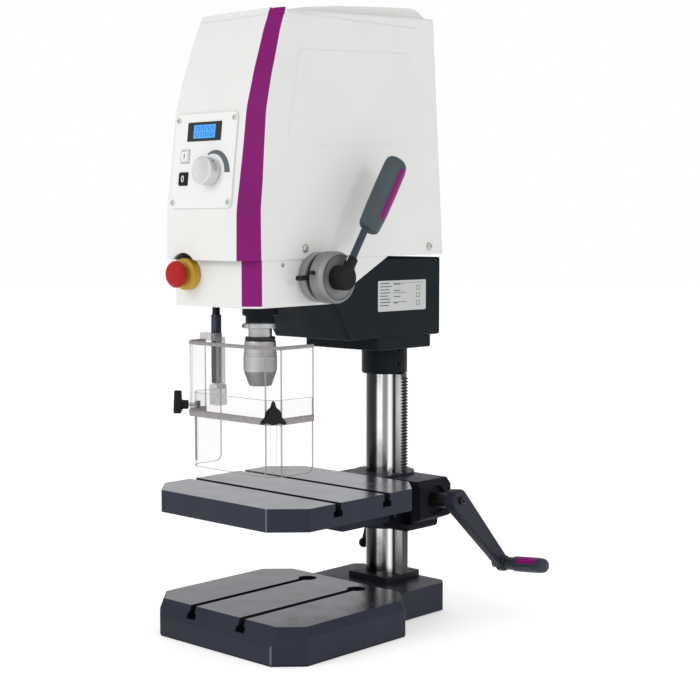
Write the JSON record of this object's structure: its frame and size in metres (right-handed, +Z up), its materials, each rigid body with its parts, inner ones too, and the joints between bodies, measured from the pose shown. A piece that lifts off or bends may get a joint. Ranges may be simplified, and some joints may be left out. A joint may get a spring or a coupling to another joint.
{
  "type": "bench drill press",
  "caption": "Bench drill press: slotted foot and table castings on a steel column, rack and crank table lift, belt driven spindle with keyless chuck, feed lever and clear swing guard.",
  "frame": {"origin": "where the column's axis meets the bench plane, on the foot casting's underside", "axes": "+Z up along the column, -Y towards the operator, +X to the operator's right where the feed lever and crank are"},
  "size_m": [0.4115, 0.537, 0.973],
  "materials": {
    "slate_paint": "slightly glossy dark blue-grey enamel on cast iron",
    "dark_paint": "satin near-black enamel on cast iron",
    "column_steel": "ground and polished steel tube",
    "bright_steel": "turned and ground steel",
    "rack_steel": "dark oiled steel",
    "white_cover": "off-white satin moulded cover",
    "panel_foil": "pale grey printed foil",
    "screen": "blue backlit display",
    "black_plastic": "black moulded plastic",
    "slate_plastic": "slate grey soft grip plastic",
    "magenta": "magenta inlay",
    "knob_alu": "spun aluminium",
    "cast_alu": "satin die cast aluminium",
    "red_plastic": "red mushroom head",
    "yellow_plastic": "yellow collar",
    "clear_sheet": "clear polycarbonate sheet",
    "bronze": "bronze bush",
    "belt_rubber": "black ribbed belt",
    "label": "silver printed label"
  },
  "bodies": {
    "frame": {"base": "slate_paint", "foot_flange": "slate_paint", "flange_screws": "bright_steel", "column": "column_steel", "rack": "rack_steel", "head_casting": "dark_paint", "column_collar": "dark_paint", "label_plate": "label", "cable_gland": "black_plastic", "upper_hood": "white_cover", "lower_cover": "white_cover", "hood_screws": "bright_steel", "control_panel": "panel_foil", "panel_screws": "bright_steel", "display_bezel": "knob_alu", "display_screen": "screen", "estop_collar": "yellow_plastic", "motor_bracket": "cast_alu", "motor": "dark_paint", "drive_belt": "belt_rubber", "pulley_bridge": "cast_alu", "feed_flange": "cast_alu", "guard_bracket": "dark_paint"},
    "table": {"table": "slate_paint", "shaft_bush": "bronze", "gear_pin": "bright_steel"},
    "lift_gear": {"lift_gear": "bright_steel"},
    "crank": {"worm_shaft": "bright_steel", "crank_arm": "slate_paint", "crank_screw": "black_plastic"},
    "crank_grip": {"crank_grip": "black_plastic", "crank_grip_inlay": "magenta"},
    "clamp_lever": {"clamp_lever": "black_plastic"},
    "start_button": {"start_button": "panel_foil"},
    "stop_button": {"stop_button": "black_plastic"},
    "speed_knob": {"speed_knob": "knob_alu"},
    "estop_button": {"estop_button": "red_plastic"},
    "motor_pulley": {"motor_pulley": "cast_alu"},
    "spindle_pulley": {"spindle_pulley": "cast_alu"},
    "quill": {"quill": "bright_steel", "quill_collar": "knob_alu", "quill_bearing": "bright_steel"},
    "spindle": {"spindle": "bright_steel", "chuck_core": "black_plastic"},
    "chuck_sleeve": {"chuck_sleeve": "knob_alu"},
    "jaw_a": {"jaw_a": "bright_steel"},
    "jaw_b": {"jaw_b": "bright_steel"},
    "jaw_c": {"jaw_c": "bright_steel"},
    "feed": {"feed_shaft": "bright_steel", "feed_drum": "cast_alu", "depth_clamp": "black_plastic", "feed_cap": "black_plastic", "lever_arm": "black_plastic", "lever_grip": "slate_plastic", "lever_inlay": "magenta"},
    "guard": {"guard_post": "black_plastic", "guard_frame": "clear_sheet"},
    "guard_screen": {"guard_screen": "clear_sheet"},
    "knob_right": {"knob_right": "black_plastic"},
    "knob_left": {"knob_left": "black_plastic"}
  },
  "joints": [
    {"name": "table_lift", "type": "slide", "parent": "frame", "child": "table", "axis": [0, 0, 1], "range_m": [0, 0.03]},
    {"name": "lift_gear_spin", "type": "hinge", "parent": "table", "child": "lift_gear", "pos_m": [0.0572, 0, 0.162], "axis": [0, 1, 0], "continuous": true},
    {"name": "crank_turn", "type": "hinge", "parent": "table", "child": "crank", "pos_m": [0.0551, 0, 0.1838], "axis": [0.9954, 0, 0.0958], "continuous": true},
    {"name": "crank_grip_spin", "type": "hinge", "parent": "crank", "child": "crank_grip", "pos_m": [0.15301, 0.112, 0.07468], "axis": [0.9954, 0, 0.0958], "continuous": true},
    {"name": "clamp_lever_turn", "type": "hinge", "parent": "table", "child": "clamp_lever", "pos_m": [-0.06, 0.044, 0.18], "axis": [1, 0, 0], "range_deg": [-30, 35]},
    {"name": "start_press", "type": "slide", "parent": "frame", "child": "start_button", "axis": [0, 0.9931, -0.1174], "range_m": [0, 0.0025], "stiffness_N_per_m": 800},
    {"name": "stop_press", "type": "slide", "parent": "frame", "child": "stop_button", "axis": [0, 0.9931, -0.1174], "range_m": [0, 0.0025], "stiffness_N_per_m": 800},
    {"name": "speed_turn", "type": "hinge", "parent": "frame", "child": "speed_knob", "pos_m": [0.01, -0.38405, 0.70564], "axis": [0, -0.9931, 0.1174], "range_deg": [-270, 0]},
    {"name": "estop_press", "type": "slide", "parent": "frame", "child": "estop_button", "axis": [0, 1, 0], "range_m": [0, 0.003], "stiffness_N_per_m": 2500},
    {"name": "quill_feed", "type": "slide", "parent": "frame", "child": "quill", "axis": [0, 0, -1], "range_m": [0, 0.08]},
    {"name": "spindle_spin", "type": "hinge", "parent": "quill", "child": "spindle", "pos_m": [0, -0.282, 0.5], "axis": [0, 0, 1], "continuous": true},
    {"name": "spindle_pulley_spin", "type": "hinge", "parent": "frame", "child": "spindle_pulley", "pos_m": [0, -0.282, 0.684], "axis": [0, 0, 1], "continuous": true},
    {"name": "motor_spin", "type": "hinge", "parent": "frame", "child": "motor_pulley", "pos_m": [0, -0.11, 0.684], "axis": [0, 0, 1], "continuous": true},
    {"name": "chuck_turn", "type": "hinge", "parent": "spindle", "child": "chuck_sleeve", "pos_m": [0, -0.282, 0.43], "axis": [0, 0, 1], "range_deg": [0, 720]},
    {"name": "jaw_a_slide", "type": "slide", "parent": "spindle", "child": "jaw_a", "axis": [0, -0.2588, -0.9659], "range_m": [0, 0.0195]},
    {"name": "jaw_b_slide", "type": "slide", "parent": "spindle", "child": "jaw_b", "axis": [0.2241, 0.1294, -0.9659], "range_m": [0, 0.0195]},
    {"name": "jaw_c_slide", "type": "slide", "parent": "spindle", "child": "jaw_c", "axis": [-0.2241, 0.1294, -0.9659], "range_m": [0, 0.0195]},
    {"name": "feed_turn", "type": "hinge", "parent": "frame", "child": "feed", "pos_m": [0, -0.25, 0.5535], "axis": [1, 0, 0], "range_deg": [0, 255]},
    {"name": "guard_swing", "type": "hinge", "parent": "frame", "child": "guard", "pos_m": [-0.074, -0.304, 0.54], "axis": [0, 0, 1], "range_deg": [-110, 0]},
    {"name": "screen_slide", "type": "slide", "parent": "guard", "child": "guard_screen", "axis": [0, 0, 1], "range_m": [0, 0.065]},
    {"name": "knob_right_turn", "type": "hinge", "parent": "guard", "child": "knob_right", "pos_m": [0.09, -0.342, 0.3575], "axis": [0.7071, -0.7071, 0], "range_deg": [0, 360]},
    {"name": "knob_left_turn", "type": "hinge", "parent": "guard", "child": "knob_left", "pos_m": [-0.09, -0.342, 0.3575], "axis": [-0.7071, -0.7071, 0], "range_deg": [0, 360]}
  ],
  "couplings": [
    {"joint": "lift_gear_spin", "follows": "table_lift", "rad_per_m": -78.125},
    {"joint": "crank_turn", "follows": "table_lift", "rad_per_m": 312.5},
    {"joint": "feed_turn", "follows": "quill_feed", "rad_per_m": 55.556},
    {"joint": "spindle_pulley_spin", "follows": "spindle_spin", "ratio": 1},
    {"joint": "motor_spin", "follows": "spindle_spin", "ratio": 1.8333},
    {"joint": "jaw_a_slide", "follows": "chuck_turn", "m_per_rad": 0.0015518},
    {"joint": "jaw_b_slide", "follows": "chuck_turn", "m_per_rad": 0.0015518},
    {"joint": "jaw_c_slide", "follows": "chuck_turn", "m_per_rad": 0.0015518}
  ]
}
